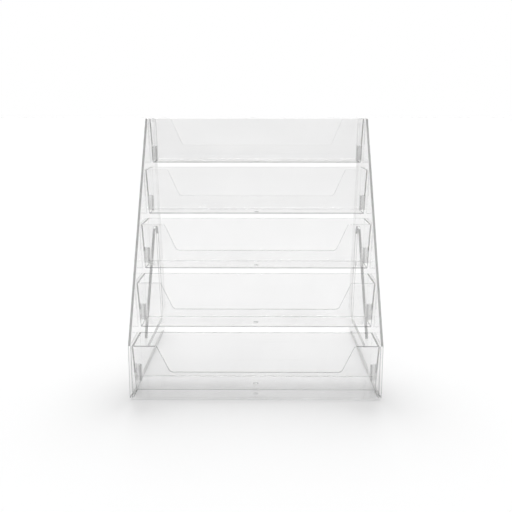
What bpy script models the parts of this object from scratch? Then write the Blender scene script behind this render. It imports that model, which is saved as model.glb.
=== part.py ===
"""Five-tier clear plastic countertop magazine rack.

Two side panels with a triangular cut-out carry five identical open pockets and a base strip.
Metres, +Z up. The front faces -Y, and the origin is on the table, under the centre of the rack.
"""
import math

import bmesh
import bpy
from mathutils import Matrix, Vector

# Pockets. Depths are measured back from the front edge of the rim, heights down from the rim.
POCKET_COUNT = 5
POCKET_WIDTH = 0.2352
POCKET_HEIGHT = 0.0484
SIDE_DRAFT = 0.0009
WALL = 0.0022
RIM_DEPTH = 0.0459
FLOOR_FRONT = 0.0124
FLOOR_REAR = 0.0500
CORNER_RADIUS = 0.0008
PLUG_REACH = 0.0050

# Front cut-out of a pocket
EAR_WIDTH = 0.0236
CUT_SLOPE_RUN = 0.0115
CUT_DEPTH = 0.0285
CUT_UPPER_RADIUS = 0.0020
CUT_LOWER_RADIUS = 0.0050

# How the tiers climb
FIRST_RIM_HEIGHT = 0.0539
TIER_RISE = 0.0528
TIER_SETBACK = 0.0371

# Side panels, as seen from the side: depths from the front edge, heights from the table
PANEL_THICKNESS = 0.0030
PANEL_CLEARANCE = 0.0003
PANEL_HEIGHT = 0.2658
FRONT_EDGE_HEIGHT = 0.0548
TOP_FRONT_DEPTH = 0.1430
TOP_REAR_DEPTH = 0.1938
REAR_FOOT_DEPTH = 0.2516
REAR_FOOT_RADIUS = 0.0200
TOP_CORNER_RADIUS = 0.0040
FRONT_CORNER_RADIUS = 0.0020
CUTOUT_SILL = 0.0192
CUTOUT_FRONT_DEPTH = 0.0850
CUTOUT_REAR_DEPTH = 0.2222
CUTOUT_APEX = (0.1915, 0.1596)
CUTOUT_APEX_RADIUS = 0.0140
CUTOUT_CORNER_RADIUS = 0.0100

# Tabs that lock each pocket into the panels
TAB_DEPTH = 0.0350
TAB_THICKNESS = 0.0030
TAB_BOTTOM = 0.0463
TAB_TOP = 0.0309
TAB_ROOT = 0.0018
GAP = 0.0003

# Base strip between the front feet
STRIP_THICKNESS = 0.0018
STRIP_DEPTH = 0.0240
TOE_DEPTH = 0.0082
LUG_FRONT = 0.0145
LUG_REAR = 0.0210
LUG_LEAD = 0.0004
STRIP_CORNER_RADIUS = 0.0010

# Moulding gate discs
GATE_RADIUS = 0.0025
GATE_HEIGHT = 0.0004
GATE_SIDES = 16

# Looks of the plain CAD materials
PANEL_COLOUR = (0.93, 0.94, 0.94)
POCKET_COLOUR = (0.95, 0.955, 0.96)
PANEL_ROUGHNESS = 0.04
POCKET_ROUGHNESS = 0.06
STRIP_ROUGHNESS = 0.08
PLASTIC_IOR = 1.49

ARC_STEP = math.radians(12)
LEAST_ARC_STEPS = 2
CORNER_SEGMENTS = 3
CIRCULAR_PROFILE = 0.5
WELD_DISTANCE = 0.00001

HALF_WIDTH = POCKET_WIDTH / 2
PANEL_INNER = HALF_WIDTH + PANEL_CLEARANCE
PANEL_OUTER = PANEL_INNER + PANEL_THICKNESS


def meeting_angle(corner, before, after):
    """Angle between the two edges that meet at a corner."""
    return (before - corner).angle(after - corner)


def rear_foot_tangent():
    """Depth at which the rounded rear foot leaves the table, which is also its arc's centre."""
    angle = meeting_angle(Vector((REAR_FOOT_DEPTH, 0)), Vector((0, 0)),
                          Vector((TOP_REAR_DEPTH, PANEL_HEIGHT)))
    return REAR_FOOT_DEPTH - REAR_FOOT_RADIUS / math.tan(angle / 2)


RACK_DEPTH = rear_foot_tangent() + REAR_FOOT_RADIUS
FRONT = -RACK_DEPTH / 2


def rounded(corners):
    """Closed outline through (u, v, radius) corners, each one turned into an arc of its radius."""
    outline = []
    for index, (u, v, radius) in enumerate(corners):
        corner = Vector((u, v))
        before = Vector(corners[index - 1][:2])
        after = Vector(corners[(index + 1) % len(corners)][:2])
        if radius == 0:
            outline.append(corner)
            continue
        half_angle = meeting_angle(corner, before, after) / 2
        to_before = (before - corner).normalized()
        to_after = (after - corner).normalized()
        centre = corner + (to_before + to_after).normalized() * radius / math.sin(half_angle)
        spoke = corner + to_before * radius / math.tan(half_angle) - centre
        sweep = math.pi - 2 * half_angle
        if to_before.x * to_after.y - to_before.y * to_after.x > 0:
            sweep = -sweep
        steps = max(LEAST_ARC_STEPS, round(abs(sweep) / ARC_STEP))
        for step in range(steps + 1):
            turn = sweep * step / steps
            outline.append(centre + Vector((spoke.x * math.cos(turn) - spoke.y * math.sin(turn),
                                            spoke.x * math.sin(turn) + spoke.y * math.cos(turn))))
    return outline


def rectangle(low_u, high_u, low_v, high_v):
    """Four corners of a plain rectangle, ready for rounded()."""
    return [(low_u, low_v, 0), (high_u, low_v, 0), (high_u, high_v, 0), (low_u, high_v, 0)]


def plate(name, outlines, thickness, placement):
    """Flat sheet from one outer outline and the outlines of its holes, as a welded mesh object."""
    curve = bpy.data.curves.new(name, "CURVE")
    curve.dimensions = "2D"
    curve.fill_mode = "BOTH"
    curve.extrude = thickness / 2
    for outline in outlines:
        spline = curve.splines.new("POLY")
        spline.points.add(len(outline) - 1)
        spline.use_cyclic_u = True
        for point, place in zip(spline.points, outline):
            point.co = (place.x, place.y, 0, 1)
    flat = bpy.data.objects.new(name, curve)
    bpy.context.scene.collection.objects.link(flat)
    flat.matrix_world = placement
    bpy.context.view_layer.update()
    evaluated = flat.evaluated_get(bpy.context.evaluated_depsgraph_get())
    mesh = bpy.data.meshes.new_from_object(evaluated)
    bpy.data.objects.remove(flat)
    work = bmesh.new()
    work.from_mesh(mesh)
    bmesh.ops.remove_doubles(work, verts=work.verts, dist=WELD_DISTANCE)
    bmesh.ops.recalc_face_normals(work, faces=work.faces)
    work.to_mesh(mesh)
    work.free()
    solid = bpy.data.objects.new(name, mesh)
    solid.matrix_world = placement
    return solid


def box(name, centre, size):
    """Box mesh object that keeps its size in its mesh, and its place in its location."""
    work = bmesh.new()
    bmesh.ops.create_cube(work, size=1)
    bmesh.ops.scale(work, verts=work.verts, vec=size)
    mesh = bpy.data.meshes.new(name)
    work.to_mesh(mesh)
    work.free()
    solid = bpy.data.objects.new(name, mesh)
    solid.location = centre
    return solid


def disc(name, centre, height):
    """Moulding gate disc standing on the Z axis."""
    work = bmesh.new()
    bmesh.ops.create_cone(work, cap_ends=True, segments=GATE_SIDES, radius1=GATE_RADIUS,
                          radius2=GATE_RADIUS, depth=height)
    mesh = bpy.data.meshes.new(name)
    work.to_mesh(mesh)
    work.free()
    solid = bpy.data.objects.new(name, mesh)
    solid.location = centre
    return solid


def pocket_section(below_rim):
    """Half width, front and rear of a pocket's outside at a depth below its rim."""
    share = below_rim / POCKET_HEIGHT
    half = HALF_WIDTH - SIDE_DRAFT * share
    front = FLOOR_FRONT * share
    rear = RIM_DEPTH + (FLOOR_REAR - RIM_DEPTH) * share
    return half, front, rear


def pocket_block(name, bottom, top, inset, radius):
    """Solid with a pocket's lean and draft, between two depths below the rim, inset all round."""
    work = bmesh.new()
    bmesh.ops.create_cube(work, size=1)
    for vertex in work.verts:
        below_rim = top if vertex.co.z > 0 else bottom
        half, front, rear = pocket_section(below_rim)
        across = half - inset
        vertex.co = (math.copysign(across, vertex.co.x),
                     rear - inset if vertex.co.y > 0 else front + inset, -below_rim)
    if radius > 0:
        edges = [edge for edge in work.edges
                 if any(vertex.co.z < -top - WELD_DISTANCE for vertex in edge.verts)]
        bmesh.ops.bevel(work, geom=edges, offset=radius, segments=CORNER_SEGMENTS,
                        profile=CIRCULAR_PROFILE, affect="EDGES", clamp_overlap=True)
    mesh = bpy.data.meshes.new(name)
    work.to_mesh(mesh)
    work.free()
    return bpy.data.objects.new(name, mesh)


def front_cutter():
    """Wedge-sided prism that opens the middle of a pocket's front wall."""
    rim_end = HALF_WIDTH - EAR_WIDTH
    floor_end = rim_end - CUT_SLOPE_RUN
    half = [(rim_end + CUT_UPPER_RADIUS, PLUG_REACH, 0), (rim_end + CUT_UPPER_RADIUS, 0, 0),
            (rim_end, 0, CUT_UPPER_RADIUS), (floor_end, -CUT_DEPTH, CUT_LOWER_RADIUS)]
    mirrored = [(-u, v, radius) for u, v, radius in reversed(half)]
    outline = rounded(half + mirrored)
    facing_front = Matrix.Rotation(math.pi / 2, 4, "X")
    return plate("front_cutter", [outline], 2 * FLOOR_FRONT + 2 * PLUG_REACH, facing_front)


def combine(target, other, operation):
    """Exact Boolean of another object on the target."""
    modifier = target.modifiers.new(f"{operation.lower()}_{other.name}", "BOOLEAN")
    modifier.operation = operation
    modifier.solver = "EXACT"
    modifier.object = other


def clear_plastic(name, colour, roughness):
    """Principled material of clear moulded plastic."""
    material = bpy.data.materials.new(name)
    material.use_nodes = True
    shader = material.node_tree.nodes["Principled BSDF"]
    shader.inputs["Base Color"].default_value = (*colour, 1)
    shader.inputs["Roughness"].default_value = roughness
    shader.inputs["Metallic"].default_value = 0
    shader.inputs["Transmission Weight"].default_value = 1
    shader.inputs["IOR"].default_value = PLASTIC_IOR
    return material


def make_pocket_tools(cutters):
    """Cutters and added features that every pocket shares, modelled at the first pocket's rim."""
    tools = [(pocket_block("hollow", POCKET_HEIGHT - WALL, -PLUG_REACH, WALL, 0), "DIFFERENCE"),
             (front_cutter(), "DIFFERENCE")]
    reach = PANEL_OUTER - GAP
    root = HALF_WIDTH - SIDE_DRAFT - TAB_ROOT
    size = (reach - root, TAB_THICKNESS, TAB_BOTTOM - TAB_TOP)
    for side, label in ((-1, "left"), (1, "right")):
        centre = (side * (reach + root) / 2, TAB_DEPTH + TAB_THICKNESS / 2,
                  -(TAB_BOTTOM + TAB_TOP) / 2)
        tools.append((box(f"{label}_tab", centre, size), "UNION"))
    gate_centre = (0, (FLOOR_FRONT + FLOOR_REAR) / 2, -POCKET_HEIGHT)
    tools.append((disc("gate_disc", gate_centre, 2 * GATE_HEIGHT), "UNION"))
    for tool, _ in tools:
        cutters.objects.link(tool)
        tool.hide_render = True
        tool.display_type = "WIRE"
    return tools


def baked(shape, tools):
    """Mesh of a shape after its Boolean tools have worked on it."""
    bpy.context.scene.collection.objects.link(shape)
    for tool, operation in tools:
        combine(shape, tool, operation)
    bpy.context.view_layer.update()
    evaluated = shape.evaluated_get(bpy.context.evaluated_depsgraph_get())
    mesh = bpy.data.meshes.new_from_object(evaluated)
    bpy.data.objects.remove(shape)
    return mesh


def make_pockets(parts, cutters, material):
    """Five pockets that share one mesh, each a tier higher and further back."""
    tools = make_pocket_tools(cutters)
    outside = pocket_block("outside", POCKET_HEIGHT, 0, 0, CORNER_RADIUS)
    mesh = baked(outside, tools)
    mesh.name = "pocket"
    mesh.materials.append(material)
    for tier in range(POCKET_COUNT):
        pocket = bpy.data.objects.new(f"pocket_{tier + 1}", mesh)
        pocket.location = (0, FRONT + tier * TIER_SETBACK, FIRST_RIM_HEIGHT + tier * TIER_RISE)
        parts.objects.link(pocket)


def panel_outlines():
    """Outer outline of a side panel, its triangular cut-out and its five tab slots."""
    notch_height = STRIP_THICKNESS + GAP
    toe = TOE_DEPTH + GAP
    outer = [(toe, 0, 0), (toe, notch_height, 0), (0, notch_height, STRIP_CORNER_RADIUS),
             (0, FRONT_EDGE_HEIGHT, FRONT_CORNER_RADIUS),
             (TOP_FRONT_DEPTH, PANEL_HEIGHT, TOP_CORNER_RADIUS),
             (TOP_REAR_DEPTH, PANEL_HEIGHT, TOP_CORNER_RADIUS),
             (REAR_FOOT_DEPTH, 0, REAR_FOOT_RADIUS),
             (LUG_REAR + GAP, 0, 0), (LUG_REAR + GAP, notch_height, 0),
             (LUG_FRONT - GAP, notch_height, 0), (LUG_FRONT - GAP, 0, 0)]
    cutout = [(CUTOUT_FRONT_DEPTH, CUTOUT_SILL, CUTOUT_CORNER_RADIUS),
              (*CUTOUT_APEX, CUTOUT_APEX_RADIUS),
              (CUTOUT_REAR_DEPTH, CUTOUT_SILL, CUTOUT_CORNER_RADIUS)]
    outlines = [rounded(outer), rounded(cutout)]
    for tier in range(POCKET_COUNT):
        rim_front = tier * TIER_SETBACK
        rim_height = FIRST_RIM_HEIGHT + tier * TIER_RISE
        slot = rectangle(rim_front + TAB_DEPTH - GAP, rim_front + TAB_DEPTH + TAB_THICKNESS + GAP,
                         rim_height - TAB_BOTTOM - GAP, rim_height - TAB_TOP + GAP)
        outlines.append(rounded(slot))
    return outlines


def make_panels(parts, material):
    """The two side panels, equal and opposite."""
    across = (PANEL_INNER + PANEL_OUTER) / 2
    for side, label in ((-1, "left"), (1, "right")):
        upright = Matrix(((0, 0, 1, side * across), (1, 0, 0, FRONT), (0, 1, 0, 0), (0, 0, 0, 1)))
        panel = plate(f"side_panel_{label}", panel_outlines(), PANEL_THICKNESS, upright)
        panel.data.materials.append(material)
        parts.objects.link(panel)


def make_base_strip(parts, cutters, material):
    """Flat strip on the table that ties the front feet, with a toe and a lug in each panel."""
    reach = PANEL_OUTER - GAP
    inside = PANEL_INNER - GAP
    half = [(reach, 0, STRIP_CORNER_RADIUS), (reach, TOE_DEPTH - LUG_LEAD, 0),
            (inside, TOE_DEPTH, 0), (inside, LUG_FRONT, 0), (reach, LUG_FRONT + LUG_LEAD, 0),
            (reach, LUG_REAR - LUG_LEAD, 0), (inside, LUG_REAR, 0),
            (inside, STRIP_DEPTH, STRIP_CORNER_RADIUS)]
    mirrored = [(-u, v, radius) for u, v, radius in reversed(half)]
    placement = Matrix.Translation((0, FRONT, STRIP_THICKNESS / 2))
    blank = plate("blank_strip", [rounded(half + mirrored)], STRIP_THICKNESS, placement)
    gate = disc("strip_gate_disc", (0, FRONT + STRIP_DEPTH / 2, STRIP_THICKNESS), 2 * GATE_HEIGHT)
    cutters.objects.link(gate)
    gate.hide_render = True
    gate.display_type = "WIRE"
    mesh = baked(blank, [(gate, "UNION")])
    mesh.materials.append(material)
    strip = bpy.data.objects.new("base_strip", mesh)
    strip.matrix_world = placement
    parts.objects.link(strip)


def main():
    """Build the rack's eight pieces in an empty scene."""
    for leftover in list(bpy.data.objects):
        bpy.data.objects.remove(leftover)
    parts = bpy.data.collections.new("magazine_rack")
    cutters = bpy.data.collections.new("cutters")
    bpy.context.scene.collection.children.link(parts)
    bpy.context.scene.collection.children.link(cutters)
    panel_plastic = clear_plastic("panel_plastic", PANEL_COLOUR, PANEL_ROUGHNESS)
    pocket_plastic = clear_plastic("pocket_plastic", POCKET_COLOUR, POCKET_ROUGHNESS)
    strip_plastic = clear_plastic("strip_plastic", PANEL_COLOUR, STRIP_ROUGHNESS)
    make_panels(parts, panel_plastic)
    make_pockets(parts, cutters, pocket_plastic)
    make_base_strip(parts, cutters, strip_plastic)


main()
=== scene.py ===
"""Looks of the five-tier clear plastic magazine rack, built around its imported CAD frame."""
import math

import bmesh
import bpy
from mathutils import Matrix, Vector


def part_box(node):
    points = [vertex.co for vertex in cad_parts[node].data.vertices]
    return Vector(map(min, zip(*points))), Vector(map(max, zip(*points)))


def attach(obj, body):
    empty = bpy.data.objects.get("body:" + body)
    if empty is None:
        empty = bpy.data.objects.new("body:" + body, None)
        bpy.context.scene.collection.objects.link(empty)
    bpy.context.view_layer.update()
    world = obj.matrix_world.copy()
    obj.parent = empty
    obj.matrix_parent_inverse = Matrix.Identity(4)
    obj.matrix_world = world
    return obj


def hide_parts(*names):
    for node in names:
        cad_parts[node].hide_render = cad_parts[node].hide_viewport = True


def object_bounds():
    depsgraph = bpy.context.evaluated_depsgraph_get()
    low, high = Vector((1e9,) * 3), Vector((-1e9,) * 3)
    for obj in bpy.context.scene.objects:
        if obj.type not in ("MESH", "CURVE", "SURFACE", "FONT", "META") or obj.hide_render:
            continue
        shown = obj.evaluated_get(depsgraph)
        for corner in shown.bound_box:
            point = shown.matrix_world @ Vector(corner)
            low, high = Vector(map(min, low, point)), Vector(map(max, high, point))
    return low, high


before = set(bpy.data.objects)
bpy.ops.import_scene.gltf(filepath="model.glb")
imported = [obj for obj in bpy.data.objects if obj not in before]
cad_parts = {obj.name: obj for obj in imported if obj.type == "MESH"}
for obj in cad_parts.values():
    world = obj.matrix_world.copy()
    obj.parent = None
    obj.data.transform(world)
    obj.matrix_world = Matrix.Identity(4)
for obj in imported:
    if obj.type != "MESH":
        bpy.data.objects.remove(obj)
cad_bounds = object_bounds()

# Pocket shell, as in the CAD part: depths run back from the rim's front edge, heights down from it
TIERS = 5
POCKET_WIDTH = 0.2352
POCKET_HEIGHT = 0.0484
SIDE_DRAFT = 0.0009
WALL = 0.0022
RIM_DEPTH = 0.0459
FLOOR_FRONT = 0.0124
FLOOR_REAR = 0.0500
OUTER_RADIUS = 0.0008
INNER_RADIUS = 0.0006
SHELL_SEGMENTS = 6
RIM_ROUNDING = 0.00020
RIM_SEGMENTS = 3
EAR_WIDTH = 0.0236
CUT_SLOPE_RUN = 0.0115
CUT_DEPTH = 0.0285
CUT_UPPER_RADIUS = 0.0020
CUT_LOWER_RADIUS = 0.0050
PLUG_REACH = 0.0050
TAB_DEPTH = 0.0350
TAB_THICKNESS = 0.0030
TAB_BOTTOM = 0.0463
TAB_TOP = 0.0309
TAB_ROOT = 0.0018
ROOT_BOTTOM = 0.0476
TAB_STEP = 0.0004
RELIEF_DEPTH = 0.0016
RELIEF_GAP = 0.0003
GATE_RADIUS = 0.0025
GATE_HEIGHT = 0.0004
GATE_SEGMENTS = 40
GAP = 0.0003

# Bands of a pocket's front wall that have finishes of their own: painted shade on the corners above
# the cut and along the foot
CORNER_BAND = 0.0016
FOOT_BAND = 0.0013

# Side panels, as in the CAD part: depths from the front edge, heights from the table
FRONT_EDGE_HEIGHT = 0.0548
TOP_FRONT_DEPTH = 0.1430
TOP_REAR_DEPTH = 0.1938
REAR_FOOT_DEPTH = 0.2516
REAR_FOOT_RADIUS = 0.0200
TOP_CORNER_RADIUS = 0.0040
FRONT_CORNER_RADIUS = 0.0020
CUTOUT_SILL = 0.0192
CUTOUT_FRONT_DEPTH = 0.0850
CUTOUT_REAR_DEPTH = 0.2222
CUTOUT_APEX = (0.1915, 0.1596)
CUTOUT_APEX_RADIUS = 0.0140
CUTOUT_CORNER_RADIUS = 0.0100
SHEET_ROUNDING = 0.0006
SHEET_SEGMENTS = 2

# Base strip, as in the CAD part
STRIP_THICKNESS = 0.0018
TOE_DEPTH = 0.0082
LUG_FRONT = 0.0145
LUG_REAR = 0.0210
LUG_LEAD = 0.0004
STRIP_CORNER_RADIUS = 0.0010
STRIP_ROUNDING = 0.0003

# Finishes of clear panes and joints, then ever darker painted shade on edges: SOFT to DARK stand in
# for the dark lines that refraction and light held inside the sheet draw along clear plastic's
# edges.
# A look gives what a face passes, its roughness, the share and two greys of its cloudy part, and
# its gloss; on the edge looks the low pass and the cloudy greys are that painted shade.
PANE, WELD, SOFT, MID, DIM, DARK = range(6)
PANE_LOOK = ((0.985, 0.998), (0, 0.06), (0.01, 0.6, 0.8), 0.85)
WELD_LOOK = ((0.96, 0.99), (0.1, 0.3), (0.01, 0.5, 0.7), 0.1)
SOFT_LOOK = ((0.90, 0.96), (0.05, 0.2), (0.08, 0.45, 0.60), 0.6)
MID_LOOK = ((0.66, 0.74), (0.05, 0.2), (0.20, 0.35, 0.50), 0.5)
DIM_LOOK = ((0.52, 0.60), (0.05, 0.2), (0.20, 0.25, 0.35), 0.4)
DARK_LOOK = ((0.12, 0.20), (0.05, 0.2), (0.30, 0.10, 0.18), 0.2)
PLASTIC_IOR = 1.50
HAZE_AND_SHADE_ROUGHNESS = 0.45
RIPPLE = 0.000003

# Scale and detail of the noise in the ripple, the clearness, the polish and the cloudy part, which
# is a light haze on panes and painted shade on edges
RIPPLE_NOISE = (14, 1)
CLEARNESS_NOISE = (22, 3)
POLISH_NOISE = (90, 6)
HAZE_AND_SHADE_NOISE = (60, 4)
NOISE_SPAN = (0.30, 0.70)

# How faces are told apart: least cosines and components of their normals, the greatest area of a
# face in a slot, and how far the apex of a panel's cut-out and its rear foot reach
SQUARE = math.cos(math.radians(2))
TURNED = 0.2
EDGE_LEAST = 0.2
EDGE_SPREAD = 0.9
SLOT_FACE_AREA = 0.00006
APEX_HALF = 0.021
APEX_DROP = 0.029
FOOT_REACH = 0.026

# Modelling
ARC_STEP = math.radians(6)
ARC_STEPS_LEAST = 3
ROUND_PROFILE = 0.5
WELD_DISTANCE = 0.000001
FLAT_ANGLE = math.radians(0.2)
SHARP_ANGLE = math.radians(30)
NORMAL_WEIGHT = 100

# Camera, from the rack's front edge and the table
CAMERA_DISTANCE = 0.6433
CAMERA_HEIGHT = 0.2680
CAMERA_OFFSET = 0.0049
CAMERA_PITCH = math.radians(11.13)
CAMERA_YAW = math.radians(0.40)
CAMERA_LENS = 50.0
CAMERA_SENSOR = 36.0
CAMERA_CLIP = 0.01

# Studio: levels of the room's front, its back and the key light. ROOM_FADE, KEY_EDGE and KEY_CORE
# are cosines.
ROOM_LEVEL = 0.20
BACKDROP_LEVEL = 0.84
ROOM_FADE = 0.6
KEY_LEVEL = 7.0
KEY_ELEVATION = math.radians(50)
KEY_EDGE = 0.88
KEY_CORE = 1.00
FLOOR_HALF = 150
FLOOR_GAP = 0.0001

# Greys of the stage. Plain sight of it meets FLOOR_SEEN and SKY_SEEN. Sight through the plastic
# meets HORIZON_LEVEL, or on the floor SEEN_LEVELS by radius, which fade in from FLOOR_SEEN between
# the two Ys of SEEN_FROM; their dip toward the middle is a painted shadow of the rack. The floor
# sends light by LIT_LEVELS along Y, whose dark level far in front is painted shade that the plastic
# mirrors. Both lists span FADE_REACH.
FLOOR_SEEN = 0.89
SKY_SEEN = 1.0
HORIZON_LEVEL = 0.89
FADE_REACH = 4.0
LIT_LEVELS = [(-2.0, 0.45), (-0.6, 0.85), (1.5, 0.80), (4.0, 0.775)]
SEEN_LEVELS = [(0.0, 0.78), (0.25, 0.825), (0.6, 0.84), (1.5, 0.80), (4.0, 0.775)]
SEEN_FROM = (-0.115, -0.095)

# Ray depths
MAX_BOUNCES = 12
MAX_CLEAR_LAYERS = 64
DIFFUSE_BOUNCES = 4

# Boxes of the frame, and places that follow
low, high = cad_bounds
PANEL_LOW, PANEL_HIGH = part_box("side_panel_right")
STRIP_LOW, STRIP_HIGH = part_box("base_strip")
HALF_WIDTH = POCKET_WIDTH / 2
TAB_MIDDLE = Vector((0, TAB_DEPTH + TAB_THICKNESS / 2, -(ROOT_BOTTOM + TAB_TOP) / 2))


def corner_angle(corner, before, after):
    """Angle between the two edges that meet at a corner."""
    return (before - corner).angle(after - corner)


def rounded(corners):
    """Closed outline through (u, v, radius) corners, each one turned into an arc of its radius."""
    outline = []
    for index, (u, v, radius) in enumerate(corners):
        corner = Vector((u, v))
        before = Vector(corners[index - 1][:2])
        after = Vector(corners[(index + 1) % len(corners)][:2])
        if radius == 0:
            outline.append(corner)
            continue
        half_angle = corner_angle(corner, before, after) / 2
        to_before = (before - corner).normalized()
        to_after = (after - corner).normalized()
        centre = corner + (to_before + to_after).normalized() * radius / math.sin(half_angle)
        spoke = corner + to_before * radius / math.tan(half_angle) - centre
        sweep = math.pi - 2 * half_angle
        if to_before.x * to_after.y - to_before.y * to_after.x > 0:
            sweep = -sweep
        steps = max(ARC_STEPS_LEAST, round(abs(sweep) / ARC_STEP))
        for step in range(steps + 1):
            turn = sweep * step / steps
            outline.append(centre + Vector((spoke.x * math.cos(turn) - spoke.y * math.sin(turn),
                                            spoke.x * math.sin(turn) + spoke.y * math.cos(turn))))
    return outline


def signed_area(outline):
    """Positive for a counter-clockwise outline."""
    return sum(a.x * b.y - b.x * a.y for a, b in zip(outline, outline[1:] + outline[:1])) / 2


def evaluated_mesh(obj):
    """Mesh of an object with its modifiers applied."""
    bpy.context.view_layer.update()
    return bpy.data.meshes.new_from_object(obj.evaluated_get(bpy.context.evaluated_depsgraph_get()))


def sheet(name, outlines, thickness, rounding, placement):
    """Flat sheet with rounded edges, from its outer outline and the outlines of its holes."""
    curve = bpy.data.curves.new(name, "CURVE")
    curve.dimensions = "2D"
    curve.fill_mode = "BOTH"
    curve.extrude = thickness / 2 - rounding
    curve.bevel_depth = rounding
    curve.bevel_resolution = SHEET_SEGMENTS
    curve.offset = -rounding
    for index, outline in enumerate(outlines):
        wants_positive = index == 0
        ordered = outline if (signed_area(outline) > 0) == wants_positive else outline[::-1]
        spline = curve.splines.new("POLY")
        spline.points.add(len(ordered) - 1)
        spline.use_cyclic_u = True
        for point, where in zip(spline.points, ordered):
            point.co = (where.x, where.y, 0, 1)
    flat = bpy.data.objects.new(name, curve)
    bpy.context.scene.collection.objects.link(flat)
    mesh = evaluated_mesh(flat)
    bpy.data.objects.remove(flat)
    work = bmesh.new()
    work.from_mesh(mesh)
    bmesh.ops.remove_doubles(work, verts=work.verts, dist=WELD_DISTANCE)
    bmesh.ops.recalc_face_normals(work, faces=work.faces)
    bmesh.ops.transform(work, matrix=placement, verts=work.verts)
    work.to_mesh(mesh)
    work.free()
    return mesh


def mesh_object(name, mesh):
    """New object of a mesh, linked to the scene."""
    obj = bpy.data.objects.new(name, mesh)
    bpy.context.scene.collection.objects.link(obj)
    return obj


def work_object(name, work):
    """New object of a finished bmesh, which is then freed."""
    mesh = bpy.data.meshes.new(name)
    work.to_mesh(mesh)
    work.free()
    return mesh_object(name, mesh)


def pocket_section(below_rim):
    """Half width, front and rear of a pocket's outside at a depth below its rim."""
    share = below_rim / POCKET_HEIGHT
    return (HALF_WIDTH - SIDE_DRAFT * share, FLOOR_FRONT * share,
            RIM_DEPTH + (FLOOR_REAR - RIM_DEPTH) * share)


def pocket_block(name, bottom, top, inset, radius):
    """Solid with a pocket's lean and draft, between two depths below the rim, inset all round."""
    work = bmesh.new()
    bmesh.ops.create_cube(work, size=1)
    for vertex in work.verts:
        below_rim = top if vertex.co.z > 0 else bottom
        half, front, rear = pocket_section(below_rim)
        vertex.co = (math.copysign(half - inset, vertex.co.x),
                     rear - inset if vertex.co.y > 0 else front + inset, -below_rim)
    edges = [edge for edge in work.edges
             if any(vertex.co.z < -top - WELD_DISTANCE for vertex in edge.verts)]
    bmesh.ops.bevel(work, geom=edges, offset=radius, segments=SHELL_SEGMENTS,
                    profile=ROUND_PROFILE, affect="EDGES", clamp_overlap=True)
    return work_object(name, work)


def box(name, centre, size):
    """Plain box, used only as a tool."""
    work = bmesh.new()
    bmesh.ops.create_cube(work, size=1)
    bmesh.ops.scale(work, verts=work.verts, vec=size)
    bmesh.ops.translate(work, verts=work.verts, vec=centre)
    return work_object(name, work)


def gate_disc(name, centre):
    """Upright disc that stands out of a face at its centre, used only as a tool."""
    work = bmesh.new()
    bmesh.ops.create_cone(work, cap_ends=True, segments=GATE_SEGMENTS, radius1=GATE_RADIUS,
                          radius2=GATE_RADIUS, depth=2 * GATE_HEIGHT)
    bmesh.ops.translate(work, verts=work.verts, vec=centre)
    return work_object(name, work)


def front_cutter():
    """Prism that opens the middle of a pocket's front wall."""
    rim_end = HALF_WIDTH - EAR_WIDTH
    floor_end = rim_end - CUT_SLOPE_RUN
    half = [(rim_end + CUT_UPPER_RADIUS, PLUG_REACH, 0), (rim_end + CUT_UPPER_RADIUS, 0, 0),
            (rim_end, 0, CUT_UPPER_RADIUS), (floor_end, -CUT_DEPTH, CUT_LOWER_RADIUS)]
    mirrored = [(-u, v, radius) for u, v, radius in reversed(half)]
    length = 2 * FLOOR_FRONT + 2 * PLUG_REACH
    mesh = sheet("front_cutter", [rounded(half + mirrored)], length, 0,
                 Matrix.Rotation(math.pi / 2, 4, "X"))
    return mesh_object("front_cutter", mesh)


def joined(shape, tools):
    """Mesh of a shape after exact Booleans with its tools, which are then removed."""
    for tool, operation in tools:
        modifier = shape.modifiers.new(tool.name, "BOOLEAN")
        modifier.operation = operation
        modifier.solver = "EXACT"
        modifier.object = tool
    mesh = evaluated_mesh(shape)
    for leftover in [shape] + [tool for tool, _ in tools]:
        bpy.data.objects.remove(leftover)
    return mesh


def scored(mesh, planes):
    """Splits the mesh's faces where planes, given by a point and a normal, cross them."""
    work = bmesh.new()
    work.from_mesh(mesh)
    for point, normal in planes:
        bmesh.ops.bisect_plane(work, geom=work.verts[:] + work.edges[:] + work.faces[:],
                               dist=WELD_DISTANCE, plane_co=point, plane_no=normal)
    work.to_mesh(mesh)
    work.free()
    return mesh


def softened(mesh, width, planes):
    """The mesh with its sharp edges rounded, then scored by planes and shaded."""
    work = bmesh.new()
    work.from_mesh(mesh)
    bmesh.ops.remove_doubles(work, verts=work.verts, dist=WELD_DISTANCE)
    bmesh.ops.dissolve_limit(work, angle_limit=FLAT_ANGLE, verts=work.verts, edges=work.edges)
    work.to_mesh(mesh)
    work.free()
    obj = mesh_object("softening", mesh)
    bevel = obj.modifiers.new("edges", "BEVEL")
    bevel.width = width
    bevel.segments = RIM_SEGMENTS
    bevel.limit_method = "ANGLE"
    bevel.angle_limit = SHARP_ANGLE
    bevel.miter_outer = "MITER_ARC"
    result = shaded(scored(evaluated_mesh(obj), planes))
    bpy.data.objects.remove(obj)
    return result


def shaded(mesh):
    """Smooth shading with weighted normals, so that flat faces stay optically flat."""
    for polygon in mesh.polygons:
        polygon.use_smooth = True
    obj = mesh_object("shading", mesh)
    weighted = obj.modifiers.new("normals", "WEIGHTED_NORMAL")
    weighted.mode = "FACE_AREA"
    weighted.weight = NORMAL_WEIGHT
    result = evaluated_mesh(obj)
    bpy.data.objects.remove(obj)
    return result


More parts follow.
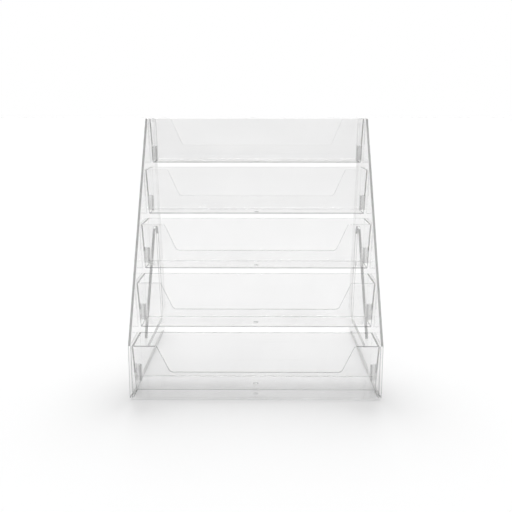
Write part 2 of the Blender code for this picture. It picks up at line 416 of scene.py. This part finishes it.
def pocket_mesh():
    """One moulded pocket with its rim's front edge on the origin, scored where finishes and painted
    edge shade meet.
    """
    shape = pocket_block("outside", POCKET_HEIGHT, 0, 0, OUTER_RADIUS)
    tools = [(pocket_block("hollow", POCKET_HEIGHT - WALL, -PLUG_REACH, WALL, INNER_RADIUS),
              "DIFFERENCE"), (front_cutter(), "DIFFERENCE")]
    root = HALF_WIDTH - SIDE_DRAFT - TAB_ROOT
    relief = HALF_WIDTH - SIDE_DRAFT - RELIEF_DEPTH
    for side in (-1, 1):
        for label, inner, outer, bottom, growth, operation in (
                ("relief", relief, HALF_WIDTH, ROOT_BOTTOM, RELIEF_GAP, "DIFFERENCE"),
                ("root", root, PANEL_LOW.x, ROOT_BOTTOM, 0, "UNION"),
                ("tip", root, high.x - GAP, TAB_BOTTOM, -TAB_STEP / 2, "UNION")):
            centre = (side * (inner + outer) / 2, TAB_DEPTH + TAB_THICKNESS / 2,
                      -(bottom + TAB_TOP) / 2)
            size = (outer - inner, TAB_THICKNESS + 2 * growth, bottom - TAB_TOP + 2 * growth)
            tools.append((box(f"tab_{label}_{side}", centre, size), operation))
    gate = (0, (FLOOR_FRONT + FLOOR_REAR) / 2, -POCKET_HEIGHT)
    tools.append((gate_disc("gate", gate), "UNION"))
    planes = [((0, 0, -CUT_DEPTH), (0, 0, 1)), ((0, 0, FOOT_BAND - POCKET_HEIGHT), (0, 0, 1)),
              ((0, FLOOR_FRONT, 0), (0, 1, 0)), ((0, RIM_DEPTH - WALL, 0), (0, 1, 0))]
    for side in (-1, 1):
        planes += [((side * (HALF_WIDTH - WALL), 0, 0), (1, 0, 0)),
                   ((side * (HALF_WIDTH - SIDE_DRAFT / 2), 0, 0), (1, 0, 0)),
                   ((side * (HALF_WIDTH - CORNER_BAND), 0, 0),
                    (POCKET_HEIGHT, 0, side * -SIDE_DRAFT))]
    return softened(joined(shape, tools), RIM_ROUNDING, planes)


def notch_height():
    """Height of the notches in the panels that take the base strip."""
    return STRIP_THICKNESS + GAP


def panel_outlines():
    """Outer outline of a side panel, its triangular cut-out and its five tab slots."""
    toe = TOE_DEPTH + GAP
    height = PANEL_HIGH.z
    outer = [(toe, 0, 0), (toe, notch_height(), 0), (0, notch_height(), STRIP_CORNER_RADIUS),
             (0, FRONT_EDGE_HEIGHT, FRONT_CORNER_RADIUS),
             (TOP_FRONT_DEPTH, height, TOP_CORNER_RADIUS),
             (TOP_REAR_DEPTH, height, TOP_CORNER_RADIUS),
             (REAR_FOOT_DEPTH, 0, REAR_FOOT_RADIUS),
             (LUG_REAR + GAP, 0, 0), (LUG_REAR + GAP, notch_height(), 0),
             (LUG_FRONT - GAP, notch_height(), 0), (LUG_FRONT - GAP, 0, 0)]
    cutout = [(CUTOUT_FRONT_DEPTH, CUTOUT_SILL, CUTOUT_CORNER_RADIUS),
              (*CUTOUT_APEX, CUTOUT_APEX_RADIUS),
              (CUTOUT_REAR_DEPTH, CUTOUT_SILL, CUTOUT_CORNER_RADIUS)]
    outlines = [rounded(outer), rounded(cutout)]
    for tier in range(TIERS):
        rim = rim_corner(tier)
        near = rim.y - low.y + TAB_DEPTH - GAP
        far = near + TAB_THICKNESS + 2 * GAP
        bottom, top = rim.z - TAB_BOTTOM - GAP, rim.z - TAB_TOP + GAP
        outlines.append([Vector((near, bottom)), Vector((far, bottom)), Vector((far, top)),
                         Vector((near, top))])
    return outlines


def rim_corner(tier):
    """Middle of the front edge of a pocket's rim, from the CAD node's box."""
    node_low, node_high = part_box(f"pocket_{tier + 1}")
    return Vector((0, node_low.y, node_high.z))


def panel_mesh(side):
    """One side panel, standing in its place."""
    thickness = PANEL_HIGH.x - PANEL_LOW.x
    across = side * (PANEL_HIGH.x + PANEL_LOW.x) / 2
    upright = Matrix(((0, 0, 1, across), (1, 0, 0, low.y), (0, 1, 0, 0), (0, 0, 0, 1)))
    return shaded(sheet("panel", panel_outlines(), thickness, SHEET_ROUNDING, upright))


def strip_mesh():
    """The base strip, lying in its place."""
    reach = STRIP_HIGH.x
    inside = PANEL_LOW.x - GAP
    depth = STRIP_HIGH.y - STRIP_LOW.y
    half = [(reach, 0, STRIP_CORNER_RADIUS), (reach, TOE_DEPTH - LUG_LEAD, 0),
            (inside, TOE_DEPTH, 0), (inside, LUG_FRONT, 0), (reach, LUG_FRONT + LUG_LEAD, 0),
            (reach, LUG_REAR - LUG_LEAD, 0), (inside, LUG_REAR, 0),
            (inside, depth, STRIP_CORNER_RADIUS)]
    mirrored = [(-u, v, radius) for u, v, radius in reversed(half)]
    placement = Matrix.Translation((0, STRIP_LOW.y, STRIP_THICKNESS / 2))
    blank = mesh_object("blank", sheet("strip", [rounded(half + mirrored)], STRIP_THICKNESS,
                                       STRIP_ROUNDING, placement))
    gate = gate_disc("strip_gate", (0, STRIP_LOW.y + depth / 2, STRIP_THICKNESS))
    return shaded(joined(blank, [(gate, "UNION")]))


def link(tree, source, target):
    """Joins two sockets."""
    tree.links.new(source, target)


def remapped(tree, value, span, low_value=0, high_value=1, interpolation="LINEAR"):
    """A value taken from a span to the levels low_value and high_value, and held at its ends."""
    node = tree.nodes.new("ShaderNodeMapRange")
    node.interpolation_type = interpolation
    link(tree, value, node.inputs["Value"])
    for name, level in zip(("From Min", "From Max", "To Min", "To Max"),
                           (*span, low_value, high_value)):
        node.inputs[name].default_value = level
    return node.outputs["Result"]


def noise_between(tree, pattern, low_value, high_value):
    """A value that wanders between two levels over the surface, by a (scale, detail) pattern."""
    coordinates = tree.nodes.new("ShaderNodeTexCoord")
    noise = tree.nodes.new("ShaderNodeTexNoise")
    noise.inputs["Scale"].default_value, noise.inputs["Detail"].default_value = pattern
    link(tree, coordinates.outputs["Object"], noise.inputs["Vector"])
    return remapped(tree, noise.outputs["Fac"], NOISE_SPAN, low_value, high_value)


def blend(tree, share, first, second):
    """Mix Shader of two shader outputs; share is a number or a socket."""
    mix = tree.nodes.new("ShaderNodeMixShader")
    if isinstance(share, float):
        mix.inputs["Fac"].default_value = share
    else:
        link(tree, share, mix.inputs["Fac"])
    link(tree, first, mix.inputs[1])
    link(tree, second, mix.inputs[2])
    return mix.outputs["Shader"]


def calculated(tree, operation, first, second):
    """Result of a Math node on two sockets or numbers, clamped to 0..1."""
    node = tree.nodes.new("ShaderNodeMath")
    node.operation = operation
    node.use_clamp = True
    for socket, value in zip(node.inputs, (first, second)):
        if isinstance(value, (int, float)):
            socket.default_value = value
        else:
            link(tree, value, socket)
    return node.outputs["Value"]


def plastic(name, shades, roughness, body, gloss, trapped):
    """Clear plastic that passes light straight through and mirrors a share of it by its angle.

    Body is the share and the two greys of its cloudy part: a light haze on clear panes, painted
    shade on edges. A trapped surface also mirrors light from inside the sheet, as a cut edge does.
    """
    material = bpy.data.materials.new(name)
    material.use_nodes = True
    tree = material.node_tree
    tree.nodes.remove(tree.nodes["Principled BSDF"])
    bump = tree.nodes.new("ShaderNodeBump")
    bump.inputs["Distance"].default_value = RIPPLE
    link(tree, noise_between(tree, RIPPLE_NOISE, 0, 1), bump.inputs["Height"])
    clear = tree.nodes.new("ShaderNodeBsdfTransparent")
    link(tree, noise_between(tree, CLEARNESS_NOISE, *shades), clear.inputs["Color"])
    mirror = tree.nodes.new("ShaderNodeBsdfGlossy")
    mirror.inputs["Color"].default_value = (1, 1, 1, 1)
    link(tree, noise_between(tree, POLISH_NOISE, *roughness), mirror.inputs["Roughness"])
    link(tree, bump.outputs["Normal"], mirror.inputs["Normal"])
    fresnel = tree.nodes.new("ShaderNodeFresnel")
    fresnel.inputs["IOR"].default_value = PLASTIC_IOR
    reflectance = calculated(tree, "MULTIPLY", fresnel.outputs["Fac"], gloss)
    if not trapped:
        inside = tree.nodes.new("ShaderNodeNewGeometry").outputs["Backfacing"]
        outside = calculated(tree, "SUBTRACT", 1, inside)
        reflectance = calculated(tree, "MULTIPLY", reflectance, outside)
    surface = blend(tree, reflectance, clear.outputs["BSDF"], mirror.outputs["BSDF"])
    haze_and_painted_shade = tree.nodes.new("ShaderNodeBsdfPrincipled")
    share, *greys = body
    link(tree, noise_between(tree, HAZE_AND_SHADE_NOISE, *greys), haze_and_painted_shade.inputs["Base Color"])
    haze_and_painted_shade.inputs["Roughness"].default_value = HAZE_AND_SHADE_ROUGHNESS
    surface = blend(tree, share, surface, haze_and_painted_shade.outputs["BSDF"])
    link(tree, surface, tree.nodes["Material Output"].inputs["Surface"])
    return material


def square_to(face, *directions):
    """True for a face that lies square to one of the directions."""
    return any(abs(face.normal.dot(Vector(direction).normalized())) > SQUARE
               for direction in directions)


def leans_to(face, depth, height):
    """True for a panel's edge face that looks along (depth, height), whatever its lean sideways."""
    along = Vector((face.normal.y, face.normal.z))
    return along.length > EDGE_LEAST and along.normalized().dot(
        Vector((depth, height)).normalized()) > EDGE_SPREAD


def on_tab(centre):
    """True for a face at this centre on a pocket's tab or in the groove around it."""
    from_middle = centre - TAB_MIDDLE
    outside = max(abs(from_middle.y) - TAB_THICKNESS / 2,
                  abs(from_middle.z) - (ROOT_BOTTOM - TAB_TOP) / 2)
    return abs(centre.x) > HALF_WIDTH - SIDE_DRAFT - RELIEF_DEPTH and outside < RELIEF_GAP / 2


def pocket_finish_and_edge_shade(front_rim, foot_band, foot_line, rear_corner):
    """Finish of each face of a pocket with its rim on the origin, given those of four edges.
    Besides clear panes, joints and a mid grey gate mark, it gives painted shade: greys on the rims,
    corners, foot, cut edges and tab roots.
    """
    middle = Vector((0, (FLOOR_FRONT + RIM_DEPTH) / 2, -POCKET_HEIGHT / 2))
    front_wall = (0, POCKET_HEIGHT, FLOOR_FRONT)
    other_walls = ((0, POCKET_HEIGHT, FLOOR_REAR - RIM_DEPTH), (POCKET_HEIGHT, 0, SIDE_DRAFT),
                   (POCKET_HEIGHT, 0, -SIDE_DRAFT))

    def finish_and_shade(face):
        centre, normal = face.center, face.normal
        half, front, _ = pocket_section(-centre.z)
        in_foot_band = centre.z < FOOT_BAND - POCKET_HEIGHT
        at_side = abs(centre.x) > HALF_WIDTH - WALL
        if centre.z < -POCKET_HEIGHT - WELD_DISTANCE:
            return MID
        # From here, looks other than PANE and WELD are painted shade on edges, the tab's dim root
        # among them
        if on_tab(centre):
            on_root = abs(normal.x) < TURNED and normal.dot(centre - TAB_MIDDLE) > 0
            return DIM if on_root and abs(centre.x) < HALF_WIDTH - SIDE_DRAFT / 2 else WELD
        if centre.z > -RIM_ROUNDING:
            if not square_to(face, (0, 0, 1)):
                return PANE
            return front_rim if centre.y < WALL else DIM if at_side else MID
        if square_to(face, front_wall) and centre.y < front + WALL / 2:
            if abs(centre.x) > half - CORNER_BAND:
                return DIM if centre.z > -CUT_DEPTH else PANE
            return foot_band if in_foot_band else PANE
        if square_to(face, front_wall, *other_walls):
            return PANE
        in_cut = centre.z > -CUT_DEPTH - WALL and abs(centre.x) < HALF_WIDTH - 2 * WALL
        if in_cut and centre.y < FLOOR_FRONT:
            return DIM if abs(normal.y) < TURNED else PANE
        if square_to(face, (0, 0, 1)) or normal.dot(centre - middle) < 0:
            return PANE
        if normal.y < -TURNED:
            if in_foot_band:
                return foot_line
            return MID if at_side and centre.z < -CUT_DEPTH else DIM
        return MID if normal.z < -TURNED else rear_corner
    return finish_and_shade


def panel_finish_and_edge_shade(side):
    """Finish of each face of the panel on one side, with painted shade on its edges."""
    front_lean = (FRONT_EDGE_HEIGHT - PANEL_HIGH.z, TOP_FRONT_DEPTH)
    opening_lean = (CUTOUT_APEX[1] - CUTOUT_SILL, CUTOUT_FRONT_DEPTH - CUTOUT_APEX[0])
    rear_lean = (CUTOUT_SILL - CUTOUT_APEX[1], CUTOUT_APEX[0] - CUTOUT_REAR_DEPTH)

    def finish_and_shade(face):
        outward = side * face.normal.x
        if square_to(face, (1, 0, 0)):
            return PANE
        if face.area < SLOT_FACE_AREA and square_to(face, (0, 1, 0), (0, 0, 1)):
            return WELD
        depth, height = face.center.y - low.y, face.center.z
        in_opening = depth < CUTOUT_APEX[0] and height > CUTOUT_SILL
        at_apex = (abs(depth - CUTOUT_APEX[0]) < APEX_HALF
                   and 0 < CUTOUT_APEX[1] - height < APEX_DROP)
        # Painted shade: darkest on the cut-out's front edge and on the apex faces turned back, dim
        # on the rest of the apex, where the key light would glint
        if in_opening and leans_to(face, *opening_lean) or at_apex and face.normal.y > 0:
            return DARK
        if at_apex:
            return DIM
        if depth > REAR_FOOT_DEPTH - FOOT_REACH and height < FOOT_REACH:
            return WELD
        on_front = depth < CUTOUT_FRONT_DEPTH or height > CUTOUT_APEX[1]
        if on_front and leans_to(face, *front_lean):
            return DIM if outward > -TURNED else PANE
        if leans_to(face, *rear_lean):
            return MID if abs(outward) > TURNED else PANE
        if leans_to(face, 0, -1):
            return DIM
        return MID if leans_to(face, 0, 1) and height < CUTOUT_APEX[1] else SOFT
    return finish_and_shade


def strip_finish_and_edge_shade(face):
    """Finish of a face of the base strip: a lightly grey gate mark, and painted shade on its ends
    inside the panels and on its front and rear faces.
    """
    if face.center.z > STRIP_THICKNESS + WELD_DISTANCE:
        return SOFT
    if square_to(face, (0, 0, 1)) or face.center.y > STRIP_LOW.y + TOE_DEPTH:
        return PANE if abs(face.center.x) < PANEL_LOW.x else DIM
    return SOFT if square_to(face, (0, 1, 0)) else PANE


def place(name, mesh, node, materials, finish_and_shade):
    """Shows a mesh in the place of its CAD node, with a finish for each of its faces, painted edge
    shade among them.
    """
    mesh.name = name
    mesh.materials.clear()
    for material in materials:
        mesh.materials.append(material)
    for face in mesh.polygons:
        face.material_index = finish_and_shade(face)
    piece = mesh_object(name, mesh)
    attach(piece, "root")
    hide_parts(node)
    return piece


def make_rack():
    """All eight pieces of the rack."""
    materials = [plastic(name, *look, trapped) for name, look, trapped in (
        ("clear_pane", PANE_LOOK, False), ("bonded_joint", WELD_LOOK, False),
        ("soft_painted_edge_shade", SOFT_LOOK, True), ("mid_painted_edge_shade", MID_LOOK, True),
        ("dim_painted_edge_shade", DIM_LOOK, True), ("dark_painted_edge_shade", DARK_LOOK, True))]
    for side, label in ((-1, "left"), (1, "right")):
        place(f"panel_{label}", panel_mesh(side), f"side_panel_{label}",
              materials, panel_finish_and_edge_shade(side))
    shell = pocket_mesh()
    for tier in range(TIERS):
        # Painted shade that differs by tier: the lowest pocket's front rim darker and its foot
        # lighter than on the others, and the top pocket's rear corners mid grey, as light falls on
        # each; the shells are alike
        front_edges = (DARK, SOFT, MID) if tier == 0 else (MID, MID, DIM)
        finish_and_shade = pocket_finish_and_edge_shade(*front_edges, MID if tier == TIERS - 1 else SOFT)
        piece = place(f"pocket_shell_{tier + 1}", shell.copy(), f"pocket_{tier + 1}",
                      materials, finish_and_shade)
        piece.data.transform(Matrix.Translation(rim_corner(tier)))
    place("strip_moulding", strip_mesh(), "base_strip", materials, strip_finish_and_edge_shade)


def make_camera():
    """Camera in front, about as high as the top pocket's rim, looking slightly down."""
    data = bpy.data.cameras.new("camera")
    data.lens = CAMERA_LENS
    data.sensor_width = CAMERA_SENSOR
    data.clip_start = CAMERA_CLIP
    data.clip_end = 2 * FLOOR_HALF
    camera = bpy.data.objects.new("camera", data)
    camera.location = (CAMERA_OFFSET, low.y - CAMERA_DISTANCE, CAMERA_HEIGHT)
    camera.rotation_euler = (math.pi / 2 - CAMERA_PITCH, 0, CAMERA_YAW)
    bpy.context.scene.collection.objects.link(camera)
    bpy.context.scene.camera = camera


def mixed(tree, share, first, second):
    """Colour between first and second, each a socket or a grey level."""
    node = tree.nodes.new("ShaderNodeMix")
    node.data_type = "RGBA"
    link(tree, share, node.inputs["Factor"])
    for name, value in (("A", first), ("B", second)):
        if isinstance(value, (int, float)):
            node.inputs[name].default_value = (value, value, value, 1)
        else:
            link(tree, value, node.inputs[name])
    return node.outputs["Result"]


def by_view(tree, in_light, through_plastic, bare):
    """Mix of a colour for rays of light, one for sight through the plastic and one for plain sight.

    Only the stage uses this, so that it stays white behind the rack from every side.
    """
    path = tree.nodes.new("ShaderNodeLightPath")
    seen = path.outputs["Is Camera Ray"]
    unhindered = calculated(tree, "SUBTRACT", seen, path.outputs["Transparent Depth"])
    return mixed(tree, unhindered, mixed(tree, seen, in_light, through_plastic), bare)


def level_ramp(tree, distance, reach, levels):
    """Grey that follows (distance, level) pairs, between -reach and reach."""
    ramp = tree.nodes.new("ShaderNodeValToRGB")
    stops = ramp.color_ramp.elements
    for index, (place_along, level) in enumerate(levels):
        where = 0.5 + place_along / (2 * reach)
        stop = stops.new(where) if 0 < index < len(levels) - 1 else stops[-1 if index else 0]
        stop.position = where
        stop.color = (level, level, level, 1)
    link(tree, remapped(tree, distance, (-reach, reach)), ramp.inputs["Fac"])
    return ramp.outputs["Color"]


def make_floor():
    """White table top that runs far past the rack on all sides. It is white in plain sight; through
    the plastic it is greyer, with a painted shadow under the rack, and for rays of light it holds
    painted shade far in front.
    """
    work = bmesh.new()
    bmesh.ops.create_grid(work, x_segments=1, y_segments=1, size=FLOOR_HALF)
    floor = work_object("floor", work)
    floor.location.z = -FLOOR_GAP
    material = bpy.data.materials.new("floor_with_painted_shade")
    material.use_nodes = True
    tree = material.node_tree
    shader = tree.nodes["Principled BSDF"]
    position = tree.nodes.new("ShaderNodeTexCoord").outputs["Object"]
    split = tree.nodes.new("ShaderNodeSeparateXYZ")
    link(tree, position, split.inputs["Vector"])
    radius = tree.nodes.new("ShaderNodeVectorMath")
    radius.operation = "LENGTH"
    link(tree, position, radius.inputs[0])
    # Painted shade: dark far in front for rays of light, and a painted shadow under the rack where
    # seen through the plastic
    in_light = level_ramp(tree, split.outputs["Y"], FADE_REACH, LIT_LEVELS)
    through = mixed(tree, remapped(tree, split.outputs["Y"], SEEN_FROM), FLOOR_SEEN,
                    level_ramp(tree, radius.outputs["Value"], FADE_REACH, SEEN_LEVELS))
    link(tree, by_view(tree, in_light, through, FLOOR_SEEN), shader.inputs["Base Color"])
    shader.inputs["Roughness"].default_value = 1
    shader.inputs["Specular IOR Level"].default_value = 0
    floor.data.materials.append(material)


def make_studio():
    """Soft studio: a room that is brighter behind the rack, with a broad key high behind it."""
    world = bpy.data.worlds.new("studio")
    bpy.context.scene.world = world
    world.use_nodes = True
    tree = world.node_tree
    background = tree.nodes["Background"]
    coordinates = tree.nodes.new("ShaderNodeTexCoord")
    towards_key = tree.nodes.new("ShaderNodeVectorMath")
    towards_key.operation = "DOT_PRODUCT"
    link(tree, coordinates.outputs["Generated"], towards_key.inputs[0])
    towards_key.inputs[1].default_value = (0, math.cos(KEY_ELEVATION), math.sin(KEY_ELEVATION))
    split = tree.nodes.new("ShaderNodeSeparateXYZ")
    link(tree, coordinates.outputs["Generated"], split.inputs["Vector"])
    total = tree.nodes.new("ShaderNodeMath")
    for socket, source, span, low_level, high_level in (
            (total.inputs[0], towards_key.outputs["Value"], (KEY_EDGE, KEY_CORE), 0, KEY_LEVEL),
            (total.inputs[1], split.outputs["Y"], (-ROOM_FADE, ROOM_FADE), ROOM_LEVEL,
             BACKDROP_LEVEL)):
        link(tree, remapped(tree, source, span, low_level, high_level, "SMOOTHSTEP"), socket)
    link(tree, by_view(tree, total.outputs["Value"], HORIZON_LEVEL, SKY_SEEN),
         background.inputs["Color"])


def set_look():
    """View transform, and ray depths that are enough for many layers of clear plastic."""
    scene = bpy.context.scene
    scene.view_settings.view_transform = "Standard"
    scene.view_settings.look = "None"
    scene.cycles.max_bounces = MAX_BOUNCES
    scene.cycles.transmission_bounces = MAX_BOUNCES
    scene.cycles.glossy_bounces = MAX_BOUNCES
    scene.cycles.diffuse_bounces = DIFFUSE_BOUNCES
    scene.cycles.transparent_max_bounces = MAX_CLEAR_LAYERS


make_camera()
make_rack()
make_floor()
make_studio()
set_look()
